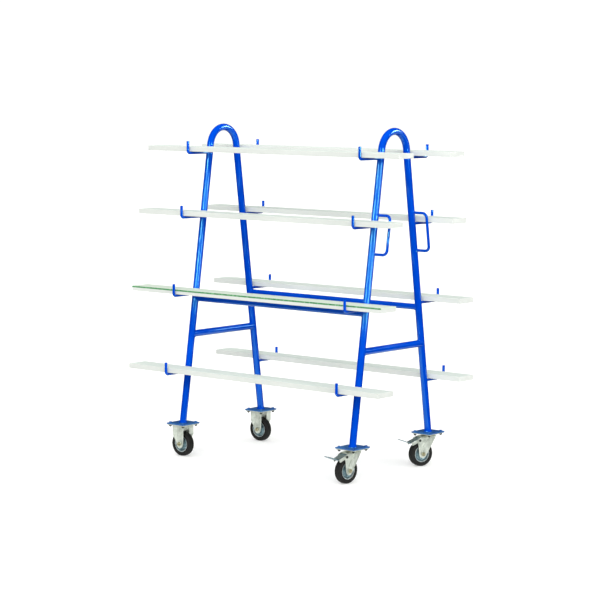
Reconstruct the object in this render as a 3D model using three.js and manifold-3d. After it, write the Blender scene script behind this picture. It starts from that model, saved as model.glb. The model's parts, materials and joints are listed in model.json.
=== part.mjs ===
// Sheet goods cart: two hoop frames on castors, with shelf arms for long boards on both sides.
// Millimetres, +Z up. X runs along the cart, -Y is its front, and the origin is on the floor
// under the middle of the cart's outer box.
import * as THREE from 'three';
import { mergeVertices } from 'three/addons/utils/BufferGeometryUtils.js';
import Module from 'manifold-3d';

// Welded frame
const frameSpacing = 1100; // hoop to hoop, between centre lines
const footSpread = 610; // leg to leg at the foot plates, between centre lines
const hoopHeight = 1671; // floor to the hoop's centre line
const hoopRadius = 100; // centre line of the bend
const tubeDiameter = 35;
const tubeWall = 2.5;
const tieBarHeight = 621;
const railDiameter = 30;
const railDrop = 22; // second arm's centre line down to the long rail's

// Shelf arms
const bottomArmHeight = 431;
const armPitch = 394;
const topArmDrop = 42; // start of the hoop's bend down to the top arm
const armReach = 165; // leg centre to upright centre
const barDiameter = 14;
const barBend = 14; // centre line of the bend
const uprightHeight = 60; // above the arm's centre line

// Push handles
const handleHeight = 1180;
const handleLength = 186;
const handleReach = 91; // leg centre to grip centre
const handleBend = 24;

// Foot plates and castor bolts
const footPlateLength = 115;
const footPlateWidth = 125;
const footPlateThickness = 6;
const boltInset = 14; // plate edge to bolt centre
const boltDiameter = 8;
const boltHeadWidth = 13;
const boltHeadHeight = 5.3;
const nutHeight = 6.5;

// Castors
const wheelDiameter = 125;
const wheelWidth = 37.5;
const tyreDepth = 21;
const tyreShoulder = 5;
const rimThickness = 6;
const rimEdge = 3; // tyre side in to the rim edge
const webThickness = 8;
const webFlare = 4;
const hubDiameter = 34;
const axleDiameter = 12;
const axleHeadWidth = 19;
const axleHeadHeight = 7.5;
const crownSpace = 40; // tyre top to the castor plate's top
const castorPlateThickness = 4;
const castorPlateInset = 2.5; // foot plate edge to castor plate edge
const wheelSideGap = 3.75;
const forkSheet = 4;
const forkBend = 8; // outside of the fold
const ribHeight = 2;
const ribRadius = 5;
const ribSetback = 11; // swivel axis to the top of a swivel fork's rib

// Fixed brackets
const fixedForkEnd = 22; // half width of a leg, and the radius of its rounded end
const flangeWidth = 22; // flange along each edge of a leg, turned out toward the plate's corner
const flangeTaper = 50; // height above the axle over which the flange grows to that width

// Swivel heads and forks
const castorTrail = 43;
const swivelAngles = { front: 263, rear: 249 }; // trailing direction, degrees from +X
const headDepth = 9; // castor plate down to the fork's crown
const collarDiameter = 56;
const cupDiameter = 68;
const cupClearance = 1.5;
const kingpinDiameter = 14;
const kingpinHeadDiameter = 26;
const kingpinHeadHeight = 5;
const swivelForkLength = 68;
const swivelForkEnd = 21;
const brakeEarRadius = 11;

// Foot brakes
const brakePinDiameter = 8;
const brakePinHeadDiameter = 14;
const brakePinHeadHeight = 3;
const brakePivotAhead = 20; // axle centre to pivot, along the trail
const brakePivotClearance = 3.2; // tyre top to the pin
const pedalSheet = 3;
const pedalRise = 6; // pivot up to the underside of the tread
const pedalBack = 8; // pivot back to the tread's edge under the crown
const pedalNeck = 50; // pivot out to the tread's lowest line
const pedalDrop = 19; // how far the tread slopes down to that line
const pedalLength = 105; // pivot to tip
const pedalTipRise = 21;
const pedalTipWidth = 52;
const pedalCorner = 9;
const pedalEyeRadius = 8.5;
const cheekReach = 38; // pivot out to the cheek's lower corner
const cheekDepth = 19; // pivot down to that corner
const cheekCorner = 4;
const shoeGap = 4;
const shoeWidth = 28;
const shoeStart = 66; // degrees above the trail direction, seen from the axle
const shoeEnd = 54;

// Boards and glass
const boardLength = 1610;
const boardThickness = 24;
const glassBoardThickness = 16; // the board that carries the glass
const boardPlay = 16; // spare width between an upright's bend and its leg
const boardShift = -40; // the load lies a little toward the left end
const boardSlides = { front: [22, -10, -17, 6], rear: [-22, 13, 5, 20] };
const glassThickness = 8;
const glassLevel = 1; // counted from the bottom arm, which is 0

// Clearances between pieces
const contactGap = 0.3;
const runningGap = 0.4;
const cheekClearance = 0.6;

// Facet counts
const tubeSides = 12;
const barSides = 8;
const pinSides = 10;
const raceSides = 16;
const wheelSides = 24;
const hoopSteps = 8;
const bendSteps = 4;
const arcSteps = 3;
const shoulderSteps = 2;
const hexSides = 6;
const mergeTolerance = 1e-4;

// Sizes worked out from the driving dimensions
const tubeRadius = tubeDiameter / 2;
const railRadius = railDiameter / 2;
const barRadius = barDiameter / 2;
const wheelRadius = wheelDiameter / 2;
const axleRadius = axleDiameter / 2;
const castorHeight = wheelDiameter + crownSpace;
const castorPlateUnderside = castorHeight - castorPlateThickness;
const footPlateBottom = castorHeight + contactGap;
const footPlateTop = footPlateBottom + footPlateThickness;
const legFoot = footPlateTop + contactGap;
const castorPlateLength = footPlateLength - 2 * castorPlateInset;
const castorPlateWidth = footPlateWidth - 2 * castorPlateInset;
const plateCorners = [[-1, -1], [1, -1], [1, 1], [-1, 1]];
const boltPlaces = plateCorners.map(([x, y]) => [
  x * (footPlateLength / 2 - boltInset),
  y * (footPlateWidth / 2 - boltInset),
]);
const forkInside = wheelWidth / 2 + wheelSideGap;
const forkOutside = forkInside + forkSheet;
const crownTop = castorPlateUnderside - headDepth;
const brakePivot = new THREE.Vector2(
  castorTrail + brakePivotAhead,
  wheelDiameter + brakePivotClearance + brakePinDiameter / 2,
);
const boardWidth = armReach - barBend - tubeRadius - boardPlay;
const pedalTip = brakePivot.x + pedalLength;
const legLean = leanOfLegs();
const bendStart = hoopHeight - hoopRadius * (1 - Math.sin(legLean));
const armHeights = [
  bottomArmHeight,
  bottomArmHeight + armPitch,
  bottomArmHeight + 2 * armPitch,
  bendStart - topArmDrop,
];

// The front brake pedal stands out past the arms, so the box's middle lies forward of the frame's
const pedalOut = pedalTip * Math.sin(THREE.MathUtils.degToRad(-swivelAngles.front));
const armOut = legOffset(bottomArmHeight) - footSpread / 2 + armReach + barRadius;
const boxForward = (pedalOut - armOut) / 2;

const wasm = await Module();
wasm.setup();

const bluePaint = new THREE.MeshStandardMaterial({ color: 0x0a4bd0, roughness: 0.3, metalness: 0.1 });
const zincPlate = new THREE.MeshStandardMaterial({ color: 0xc3c8c2, roughness: 0.35, metalness: 0.9 });
const rimSteel = new THREE.MeshStandardMaterial({ color: 0x8d97a3, roughness: 0.4, metalness: 0.8 });
const blackRubber = new THREE.MeshStandardMaterial({ color: 0x17181a, roughness: 0.75, metalness: 0 });
const whiteBoard = new THREE.MeshStandardMaterial({ color: 0xf1f4f0, roughness: 0.5, metalness: 0 });
const greenGlass = new THREE.MeshStandardMaterial({ color: 0xb9dcc4, roughness: 0.05, metalness: 0 });

// Angle of a leg from the vertical, so that it runs tangent into the hoop's bend
function leanOfLegs() {
  const out = footSpread / 2;
  const down = legFoot - (hoopHeight - hoopRadius);
  return Math.atan2(down, out) + Math.acos(hoopRadius / Math.hypot(out, down));
}

// Distance of a leg's centre line from the cart's middle plane
function legOffset(height) {
  return footSpread / 2 - (height - legFoot) * Math.tan(legLean);
}

// Solids for joining and cutting

function toSolid(geometry) {
  const bare = geometry.clone();
  bare.deleteAttribute('normal');
  bare.deleteAttribute('uv');
  const merged = mergeVertices(bare, mergeTolerance);
  return new wasm.Manifold(new wasm.Mesh({
    numProp: 3,
    vertProperties: Float32Array.from(merged.attributes.position.array),
    triVerts: Uint32Array.from(merged.index.array),
  }));
}

function toGeometry(solid) {
  const mesh = solid.getMesh();
  const geometry = new THREE.BufferGeometry();
  geometry.setAttribute('position', new THREE.BufferAttribute(mesh.vertProperties, 3));
  geometry.setIndex(new THREE.BufferAttribute(mesh.triVerts, 1));
  geometry.computeVertexNormals();
  return geometry;
}

function join(...geometries) {
  return toGeometry(geometries.map(toSolid).reduce((whole, piece) => whole.add(piece)));
}

function cut(geometry, ...tools) {
  return toGeometry(tools.map(toSolid).reduce((rest, tool) => rest.subtract(tool), toSolid(geometry)));
}

function overlap(first, second) {
  return toGeometry(toSolid(first).intersect(toSolid(second)));
}

// Outlines

function circlePoints(radius, sides) {
  return Array.from({ length: sides }, (unused, index) => {
    const angle = (2 * Math.PI * (index + 0.5)) / sides;
    return new THREE.Vector2(radius * Math.cos(angle), radius * Math.sin(angle));
  });
}

function tubeSection(radius, boreRadius) {
  const section = new THREE.Shape(circlePoints(radius, tubeSides));
  if (boreRadius > 0) {
    section.holes.push(new THREE.Path(circlePoints(boreRadius, tubeSides)));
  }
  return section;
}

function rectangle(length, width) {
  const shape = new THREE.Shape();
  shape.moveTo(-length / 2, -width / 2);
  shape.lineTo(length / 2, -width / 2);
  shape.lineTo(length / 2, width / 2);
  shape.lineTo(-length / 2, width / 2);
  return shape;
}

// Band stretched round circles that are listed counter-clockwise
function beltOutline(circles) {
  const normals = circles.map((circle, index) => {
    const next = circles[(index + 1) % circles.length];
    const along = new THREE.Vector2(next.x - circle.x, next.y - circle.y);
    const lean = (circle.radius - next.radius) / along.length();
    return along.angle() - Math.acos(lean);
  });
  const shape = new THREE.Shape();
  circles.forEach((circle, index) => {
    const from = normals[(index + circles.length - 1) % circles.length];
    shape.absarc(circle.x, circle.y, circle.radius, from, normals[index], false);
  });
  return shape;
}

// U-shaped sheet section, open downward, in Y and Z
function channelSection(bottom, top) {
  const innerBend = forkBend - forkSheet;
  const shape = new THREE.Shape();
  shape.moveTo(forkOutside, bottom);
  shape.absarc(forkOutside - forkBend, top - forkBend, forkBend, 0, Math.PI / 2, false);
  shape.absarc(forkBend - forkOutside, top - forkBend, forkBend, Math.PI / 2, Math.PI, false);
  shape.lineTo(-forkOutside, bottom);
  shape.lineTo(-forkInside, bottom);
  shape.absarc(innerBend - forkInside, top - forkBend, innerBend, Math.PI, Math.PI / 2, true);
  shape.absarc(forkInside - innerBend, top - forkBend, innerBend, Math.PI / 2, 0, true);
  shape.lineTo(forkInside, bottom);
  return shape;
}

// Basic solids

function extrude(shape, depth) {
  return new THREE.ExtrudeGeometry(shape, { depth, bevelEnabled: false, curveSegments: arcSteps });
}

// Outline in X and Y, raised from one height to another
function raised(shape, bottom, top) {
  return extrude(shape, top - bottom).translate(0, 0, bottom);
}

// Outline in X and Z, between two places across Y
function acrossY(shape, near, far) {
  return extrude(shape, far - near).rotateX(Math.PI / 2).translate(0, far, 0);
}

// Outline in Y and Z, between two places along X
function alongX(shape, start, end) {
  const axes = new THREE.Matrix4().makeBasis(
    new THREE.Vector3(0, 1, 0),
    new THREE.Vector3(0, 0, 1),
    new THREE.Vector3(1, 0, 0),
  );
  return extrude(shape, end - start).applyMatrix4(axes).translate(start, 0, 0);
}

// Round or hexagonal post along Z
function post(radius, bottom, top, sides) {
  return new THREE.CylinderGeometry(radius, radius, top - bottom, sides)
    .rotateX(Math.PI / 2)
    .translate(0, 0, (bottom + top) / 2);
}

// Round or hexagonal pin along Y
function pin(radius, near, far, sides) {
  return new THREE.CylinderGeometry(radius, radius, far - near, sides).translate(0, (near + far) / 2, 0);
}

// Corner radius of a hexagon from its width across flats
function hexRadius(width) {
  return width / Math.sqrt(3);
}

// Ring turned about Y, measured across its flats, with a flat facing down
function turned(profile) {
  const grow = 1 / Math.cos(Math.PI / wheelSides);
  const points = [...profile, profile[0]].map(([radius, y]) => new THREE.Vector2(radius * grow, y));
  return new THREE.LatheGeometry(points, wheelSides, Math.PI / wheelSides);
}

// Path through listed stations
class StationPath extends THREE.Curve {
  constructor(stations) {
    super();
    this.stations = stations;
  }

  getPointAt(share) {
    return this.stations[Math.round(share * (this.stations.length - 1))].clone();
  }

  getTangentAt(share) {
    const last = this.stations.length - 1;
    const index = Math.round(share * last);
    const tangent = new THREE.Vector3();
    if (index > 0) {
      tangent.add(this.stations[index].clone().sub(this.stations[index - 1]).normalize());
    }
    if (index < last) {
      tangent.add(this.stations[index + 1].clone().sub(this.stations[index]).normalize());
    }
    return tangent.normalize();
  }

  getSpacedPoints() {
    return this.stations.map((station) => station.clone());
  }
}

// Stations along straight runs whose corners are bent to one radius
function bentStations(corners, radius, steps) {
  const stations = [corners[0]];
  for (let index = 1; index < corners.length - 1; index += 1) {
    const corner = corners[index];
    const back = corners[index - 1].clone().sub(corner).normalize();
    const onward = corners[index + 1].clone().sub(corner).normalize();
    const half = back.angleTo(onward) / 2;
    const middle = back.clone().add(onward).normalize();
    const centre = corner.clone().addScaledVector(middle, radius / Math.sin(half));
    const spoke = corner.clone().addScaledVector(back, radius / Math.tan(half)).sub(centre);
    const axis = onward.clone().cross(back).normalize();
    for (let step = 0; step <= steps; step += 1) {
      const turn = ((Math.PI - 2 * half) * step) / steps;
      stations.push(spoke.clone().applyAxisAngle(axis, turn).add(centre));
    }
  }
  stations.push(corners[corners.length - 1]);
  return stations;
}

function sweep(section, stations) {
  return new THREE.ExtrudeGeometry(section, {
    steps: stations.length - 1,
    extrudePath: new StationPath(stations),
    bevelEnabled: false,
  });
}

function bentBar(corners, radius) {
  const section = new THREE.Shape(circlePoints(barRadius, barSides));
  return sweep(section, bentStations(corners, radius, bendSteps));
}

function named(name, geometry, material) {
  const mesh = new THREE.Mesh(geometry, material);
  mesh.name = name;
  return mesh;
}

// Welded frame pieces

// Hoop in the plane x = 0, running on below its feet so that they can be cut level
function hoopSweep(radius, boreRadius) {
  const apexHeight = hoopHeight - hoopRadius + hoopRadius / Math.sin(legLean);
  const corners = [
    new THREE.Vector3(0, -legOffset(0), 0),
    new THREE.Vector3(0, 0, apexHeight),
    new THREE.Vector3(0, legOffset(0), 0),
  ];
  return sweep(tubeSection(radius, boreRadius), bentStations(corners, hoopRadius, hoopSteps));
}

function hoopTool() {
  return hoopSweep(tubeRadius + contactGap, 0);
}

function hoopFrame() {
  const tube = hoopSweep(tubeRadius, tubeRadius - tubeWall);
  const reach = 2 * footSpread;
  const below = new THREE.BoxGeometry(reach, reach, 2 * legFoot);
  return cut(tube, below);
}

function tieBar() {
  const reach = legOffset(tieBarHeight);
  const section = tubeSection(tubeRadius, tubeRadius - tubeWall);
  const bar = extrude(section, 2 * reach).rotateX(Math.PI / 2).translate(0, reach, tieBarHeight);
  return cut(bar, hoopTool());
}

function longRail() {
  const height = armHeights[1] - railDrop;
  const section = tubeSection(railRadius, railRadius - tubeWall);
  const half = frameSpacing / 2;
  const rail = alongX(section, -half, half).translate(0, -legOffset(height), height);
  return cut(rail, hoopTool().translate(-half, 0, 0), hoopTool().translate(half, 0, 0));
}

function shelfArm(height) {
  const out = -legOffset(height);
  const arm = bentBar([
    new THREE.Vector3(0, out, height),
    new THREE.Vector3(0, out - armReach, height),
    new THREE.Vector3(0, out - armReach, height + uprightHeight),
  ], barBend);
  return cut(arm, hoopTool());
}

function pushHandle(across) {
  const [low, high] = [-handleLength / 2, handleLength / 2].map((rise) => {
    const height = handleHeight + rise;
    return new THREE.Vector3(0, across * legOffset(height), height);
  });
  const reach = new THREE.Vector3(handleReach, 0, 0);
  const bar = bentBar([low, low.clone().add(reach), high.clone().add(reach), high], handleBend);
  return cut(bar, hoopTool());
}

function footPlate() {
  const shape = rectangle(footPlateLength, footPlateWidth);
  const holeRadius = boltDiameter / 2 + runningGap;
  boltPlaces.forEach(([x, y]) => {
    const rim = circlePoints(holeRadius, pinSides).map((point) => point.add(new THREE.Vector2(x, y)));
    shape.holes.push(new THREE.Path(rim));
  });
  return raised(shape, footPlateBottom, footPlateTop);
}

// Castor pieces, about the swivel axis at x = 0 and y = 0, with the wheel trailing toward +X

// Castor plate with its four bolts, whose heads lie on the foot plate
function castorPlate() {
  const plate = raised(rectangle(castorPlateLength, castorPlateWidth), castorPlateUnderside, castorHeight);
  const headBottom = footPlateTop + contactGap;
  const headRadius = hexRadius(boltHeadWidth);
  const nutBottom = castorPlateUnderside - nutHeight;
  const bolts = boltPlaces.flatMap(([x, y]) => [
    post(boltDiameter / 2, castorPlateUnderside, headBottom + boltHeadHeight / 2, pinSides),
    post(headRadius, headBottom, headBottom + boltHeadHeight, hexSides),
    post(headRadius, nutBottom, castorHeight - castorPlateThickness / 2, hexSides),
  ].map((piece) => piece.translate(x, y, 0)));
  return join(plate, ...bolts);
}

// Folded channel trimmed to the outline of its legs
function foldedFork(outline, top) {
  const channel = alongX(channelSection(0, top), -castorHeight, castorHeight);
  return overlap(channel, acrossY(outline, -forkOutside * 2, forkOutside * 2));
}

// Ribs pressed outward, one down each leg
function legRibs(top, bottom) {
  const rib = beltOutline([top, bottom].map(({ x, y }) => ({ x, y, radius: ribRadius })));
  const root = forkOutside - forkSheet / 2;
  const crest = forkOutside + ribHeight;
  return [acrossY(rib, root, crest), acrossY(rib, -crest, -root)];
}

function axleHole(trail) {
  const reach = forkOutside + ribHeight;
  return pin(axleRadius + runningGap, -reach * 2, reach * 2, pinSides).translate(trail, 0, wheelRadius);
}

// Flanges along the edges of the fixed legs, which run out to nothing at the axle
function legFlanges(top) {
  const half = forkSheet / 2;
  const root = half / 2;
  const shape = new THREE.Shape();
  shape.moveTo(-root, wheelRadius);
  shape.lineTo(0, wheelRadius);
  shape.lineTo(flangeWidth, wheelRadius + flangeTaper);
  shape.lineTo(flangeWidth, top);
  shape.lineTo(-root, top);
  return plateCorners.map(([x, y]) => acrossY(shape, -half, half)
    .rotateZ(Math.atan2(y, x))
    .translate(x * (fixedForkEnd - half), y * (forkOutside - half), 0));
}

function fixedFork() {
  const outline = beltOutline([
    { x: 0, y: castorHeight, radius: fixedForkEnd },
    { x: 0, y: wheelRadius, radius: fixedForkEnd },
  ]);
  const top = castorPlateUnderside + castorPlateThickness / 2;
  return cut(join(foldedFork(outline, top), castorPlate(), ...legFlanges(top)), axleHole(0));
}

// Castor plate with the cup of the ball race and the riveted kingpin
function swivelPlate() {
  const cupRadius = cupDiameter / 2;
  const cupBottom = castorPlateUnderside - headDepth + cupClearance;
  const plateMiddle = castorPlateUnderside + castorPlateThickness / 2;
  const cup = cut(
    post(cupRadius, cupBottom, plateMiddle, raceSides),
    post(collarDiameter / 2 + cupClearance, cupBottom - headDepth, castorPlateUnderside, raceSides),
  );
  const headTop = crownTop - forkSheet - contactGap;
  return join(
    castorPlate(),
    cup,
    post(kingpinDiameter / 2, headTop - kingpinHeadHeight / 2, plateMiddle, pinSides),
    post(kingpinHeadDiameter / 2, headTop - kingpinHeadHeight, headTop, pinSides),
  );
}

function swivelFork() {
  const corner = forkBend / 2;
  const half = swivelForkLength / 2 - corner;
  const outline = beltOutline([
    { x: -half, y: crownTop, radius: corner },
    { x: castorTrail, y: wheelRadius, radius: swivelForkEnd },
    { x: brakePivot.x, y: brakePivot.y, radius: brakeEarRadius },
    { x: half, y: crownTop, radius: corner },
  ]);
  const ribTop = new THREE.Vector2(ribSetback, crownTop - forkBend - ribRadius);
  const ribBottom = new THREE.Vector2(castorTrail, wheelRadius + swivelForkEnd + ribRadius);
  const collar = post(
    collarDiameter / 2, crownTop - forkSheet / 2, castorPlateUnderside - contactGap, raceSides,
  );
  const pinReach = forkOutside + ribHeight;
  const pinHole = pin(brakePinDiameter / 2 + runningGap, -pinReach, pinReach, pinSides)
    .translate(brakePivot.x, 0, brakePivot.y);
  return cut(
    join(foldedFork(outline, crownTop), collar, ...legRibs(ribTop, ribBottom)),
    post(kingpinDiameter / 2 + runningGap, 0, castorHeight, pinSides),
    axleHole(castorTrail),
    pinHole,
  );
}

function wheelRim(trail) {
  const bore = axleRadius + contactGap;
  const hubRadius = hubDiameter / 2;
  const hubHalf = forkInside - runningGap;
  const webHalf = webThickness / 2;
  const outer = wheelRadius - tyreDepth;
  const inner = outer - rimThickness;
  const rimHalf = wheelWidth / 2 - rimEdge;
  const side = [
    [bore, hubHalf], [hubRadius, hubHalf], [hubRadius + webFlare, webHalf],
    [inner - webFlare, webHalf], [inner, rimHalf], [outer, rimHalf],
  ];
  const mirrored = side.map(([radius, y]) => [radius, -y]);
  return turned([...mirrored, ...side.reverse()]).translate(trail, 0, wheelRadius);
}

// Rounded edge of the tread, from the tyre's side to its running face
function shoulderArc() {
  return Array.from({ length: shoulderSteps + 1 }, (unused, index) => {
    const angle = (Math.PI * index) / (2 * shoulderSteps);
    return [
      wheelRadius - tyreShoulder * (1 - Math.sin(angle)),
      wheelWidth / 2 - tyreShoulder * (1 - Math.cos(angle)),
    ];
  });
}

function tyre(trail) {
  const inner = wheelRadius - tyreDepth + contactGap;
  const half = wheelWidth / 2;
  const side = [[inner, half - rimEdge], [inner + rimEdge, half], ...shoulderArc()];
  const mirrored = side.map(([radius, y]) => [radius, -y]);
  return turned([...mirrored, ...side.reverse()]).translate(trail, 0, wheelRadius);
}

function headedPin(radius, headRadius, headHeight, headSides) {
  const seat = forkOutside + contactGap;
  return join(
    pin(radius, -seat - headHeight / 2, seat + headHeight / 2, pinSides),
    pin(headRadius, -seat - headHeight, -seat, headSides),
    pin(headRadius, seat, seat + headHeight, headSides),
  );
}

function axleBolt(trail) {
  return headedPin(axleRadius, hexRadius(axleHeadWidth), axleHeadHeight, hexSides)
    .translate(trail, 0, wheelRadius);
}

function brakePin() {
  return headedPin(brakePinDiameter / 2, brakePinHeadDiameter / 2, brakePinHeadHeight, pinSides)
    .translate(brakePivot.x, 0, brakePivot.y);
}

// Underside of the pedal's tread, which slopes down evenly as far as its lowest line
function treadHeight(ahead) {
  return brakePivot.y + pedalRise - (pedalDrop * ahead) / pedalNeck;
}

// Tread of the pedal: its side view trimmed by its plan, which flares toward the tip
function pedalTread() {
  const back = brakePivot.x - pedalBack;
  const neck = brakePivot.x + pedalNeck;
  const backBottom = treadHeight(-pedalBack);
  const neckBottom = treadHeight(pedalNeck);
  const tipBottom = neckBottom + pedalTipRise;
  const neckHalf = forkInside - cheekClearance;
  const tipHalf = pedalTipWidth / 2;
  const side = new THREE.Shape();
  side.moveTo(back, backBottom);
  side.lineTo(neck, neckBottom);
  side.lineTo(pedalTip, tipBottom);
  side.lineTo(pedalTip, tipBottom + pedalSheet);
  side.lineTo(neck, neckBottom + pedalSheet);
  side.lineTo(back, backBottom + pedalSheet);
  const plan = new THREE.Shape();
  plan.moveTo(back, -neckHalf);
  plan.lineTo(neck, -neckHalf);
  plan.lineTo(pedalTip - pedalCorner, -tipHalf);
  plan.absarc(pedalTip - pedalCorner, pedalCorner - tipHalf, pedalCorner, -Math.PI / 2, 0, false);
  plan.absarc(pedalTip - pedalCorner, tipHalf - pedalCorner, pedalCorner, 0, Math.PI / 2, false);
  plan.lineTo(neck, neckHalf);
  plan.lineTo(back, neckHalf);
  return overlap(acrossY(side, -pedalTipWidth, pedalTipWidth), raised(plan, 0, castorHeight));
}

// Side of the pedal, from the tread down past the pivot eye
function pedalCheek(near, far) {
  const edge = pedalSheet / 2;
  const backPlace = edge - pedalBack;
  const frontPlace = cheekReach + cheekCorner;
  const outline = beltOutline([
    { x: brakePivot.x + backPlace, y: treadHeight(backPlace) + edge, radius: edge },
    { x: brakePivot.x, y: brakePivot.y, radius: pedalEyeRadius },
    { x: brakePivot.x + cheekReach, y: brakePivot.y - cheekDepth, radius: cheekCorner },
    { x: brakePivot.x + frontPlace, y: treadHeight(frontPlace) + edge, radius: edge },
  ]);
  return acrossY(outline, near, far);
}

// Brake shoe, whose face follows the tyre and whose back is buried in the tread
function brakeShoe() {
  const shoeRadius = wheelRadius + shoeGap;
  const [from, to] = [shoeStart, shoeEnd].map((angle) => THREE.MathUtils.degToRad(angle));
  const [start, end] = [from, to].map((angle) => castorTrail + shoeRadius * Math.cos(angle));
  const root = pedalSheet / 2;
  const shoe = new THREE.Shape();
  shoe.absarc(castorTrail, wheelRadius, shoeRadius, from, to, true);
  shoe.lineTo(end, treadHeight(end - brakePivot.x) + root);
  shoe.lineTo(start, treadHeight(start - brakePivot.x) + root);
  return acrossY(shoe, -shoeWidth / 2, shoeWidth / 2);
}

// Pedal with a cheek on each side of the tyre and a shoe over it
function brakePedal() {
  const cheekOuter = forkInside - cheekClearance;
  const cheekInner = wheelWidth / 2 + cheekClearance;
  const pinHole = pin(brakePinDiameter / 2 + runningGap, -forkOutside, forkOutside, pinSides)
    .translate(brakePivot.x, 0, brakePivot.y);
  const pedal = join(
    pedalTread(),
    pedalCheek(cheekInner, cheekOuter),
    pedalCheek(-cheekOuter, -cheekInner),
    brakeShoe(),
  );
  return cut(pedal, pinHole);
}

// Assembly

const cart = new THREE.Group();
const ends = { left: -1, right: 1 };
const sides = { front: -1, rear: 1 };

// A piece made for the front leg, turned round to the rear one where needed
function onLeg(mesh, side) {
  mesh.rotation.z = side === 'rear' ? Math.PI : 0;
  return mesh;
}

function addEndFrame(end) {
  const frame = new THREE.Group();
  frame.position.x = (ends[end] * frameSpacing) / 2;
  frame.add(named(`${end}_hoop_frame`, hoopFrame(), bluePaint));
  frame.add(named(`${end}_tie_bar`, tieBar(), bluePaint));
  Object.keys(sides).forEach((side) => {
    armHeights.forEach((height, level) => {
      frame.add(onLeg(named(`${end}_${side}_arm_${level + 1}`, shelfArm(height), bluePaint), side));
    });
    const plate = named(`${end}_${side}_foot_plate`, footPlate(), bluePaint);
    plate.position.y = (sides[side] * footSpread) / 2;
    frame.add(plate);
  });
  cart.add(frame);
}

function addHandle(side) {
  const handle = named(`${side}_push_handle`, pushHandle(sides[side]), bluePaint);
  handle.position.x = frameSpacing / 2;
  cart.add(handle);
}

function castorGroup(end, side, angle) {
  const group = new THREE.Group();
  group.position.set((ends[end] * frameSpacing) / 2, (sides[side] * footSpread) / 2, 0);
  group.rotation.z = THREE.MathUtils.degToRad(angle);
  cart.add(group);
  return group;
}

function addWheel(group, label, trail) {
  group.add(named(`${label}_wheel_rim`, wheelRim(trail), rimSteel));
  group.add(named(`${label}_tyre`, tyre(trail), blackRubber));
  group.add(named(`${label}_axle_bolt`, axleBolt(trail), zincPlate));
}

function addFixedCastor(side) {
  const label = `left_${side}`;
  const group = castorGroup('left', side, 0);
  group.add(named(`${label}_fixed_fork`, fixedFork(), zincPlate));
  addWheel(group, label, 0);
}

function addSwivelCastor(side) {
  const label = `right_${side}`;
  const plate = named(`${label}_swivel_plate`, swivelPlate(), zincPlate);
  castorGroup('right', side, 0).add(plate);
  const group = castorGroup('right', side, swivelAngles[side]);
  group.add(named(`${label}_swivel_fork`, swivelFork(), zincPlate));
  group.add(named(`${label}_brake_pedal`, brakePedal(), zincPlate));
  group.add(named(`${label}_brake_pin`, brakePin(), zincPlate));
  addWheel(group, label, castorTrail);
}

// Boards lie on the arms up to where the uprights bend, each pushed along by hand
function addBoards(side) {
  armHeights.forEach((height, level) => {
    const underGlass = side === 'front' && level === glassLevel;
    const thickness = underGlass ? glassBoardThickness : boardThickness;
    const edge = legOffset(height) + armReach - barBend;
    const bottom = height + barRadius + contactGap;
    const place = new THREE.Vector3(
      boardShift + boardSlides[side][level],
      sides[side] * (edge - boardWidth / 2),
      bottom,
    );
    addStrip(`${side}_board_${level + 1}`, place, thickness, whiteBoard);
    if (underGlass) {
      place.z += thickness + contactGap;
      addStrip('glass_strip', place, glassThickness, greenGlass);
    }
  });
}

// Board or glass strip whose underside is at the given place
function addStrip(name, place, thickness, material) {
  const strip = named(name, new THREE.BoxGeometry(boardLength, boardWidth, thickness), material);
  strip.position.copy(place);
  strip.position.z += thickness / 2;
  cart.add(strip);
}

Object.keys(ends).forEach(addEndFrame);
Object.keys(sides).forEach((side) => {
  const rail = named(`${side}_long_rail`, longRail(), bluePaint);
  cart.add(onLeg(rail, side));
  addHandle(side);
  addFixedCastor(side);
  addSwivelCastor(side);
  addBoards(side);
});
cart.position.set(-boardShift, boxForward, 0);

export default cart;
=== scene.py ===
import json
import math

import bmesh
import bpy
from mathutils import Matrix, Vector


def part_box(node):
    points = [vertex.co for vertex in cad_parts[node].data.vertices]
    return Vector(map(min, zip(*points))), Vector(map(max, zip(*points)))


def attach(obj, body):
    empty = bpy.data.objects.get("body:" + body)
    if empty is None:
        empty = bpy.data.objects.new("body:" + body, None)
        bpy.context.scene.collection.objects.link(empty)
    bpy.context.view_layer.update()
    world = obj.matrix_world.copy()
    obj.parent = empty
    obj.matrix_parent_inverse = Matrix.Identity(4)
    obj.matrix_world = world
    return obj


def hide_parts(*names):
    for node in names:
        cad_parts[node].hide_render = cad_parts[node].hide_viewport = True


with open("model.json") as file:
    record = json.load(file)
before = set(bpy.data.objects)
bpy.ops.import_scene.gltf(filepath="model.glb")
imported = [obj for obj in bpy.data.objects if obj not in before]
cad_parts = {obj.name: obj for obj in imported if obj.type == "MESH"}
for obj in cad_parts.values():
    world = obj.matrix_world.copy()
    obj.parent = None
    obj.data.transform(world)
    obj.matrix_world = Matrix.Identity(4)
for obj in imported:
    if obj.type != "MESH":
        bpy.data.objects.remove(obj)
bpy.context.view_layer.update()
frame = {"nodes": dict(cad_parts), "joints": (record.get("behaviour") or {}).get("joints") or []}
joints = {joint["name"]: joint for joint in frame["joints"]}
ends = {"left": -1, "right": 1}
sides = {"front": -1, "rear": 1}
print("frame loaded,", len(frame["nodes"]), "nodes")


# Small helpers for materials

def hexToLinear(code):
    channels = [int(code[at:at + 2], 16) / 255 for at in (1, 3, 5)]
    linear = [c / 12.92 if c <= 0.04045 else ((c + 0.055) / 1.055) ** 2.4 for c in channels]
    return (*linear, 1.0)


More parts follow.
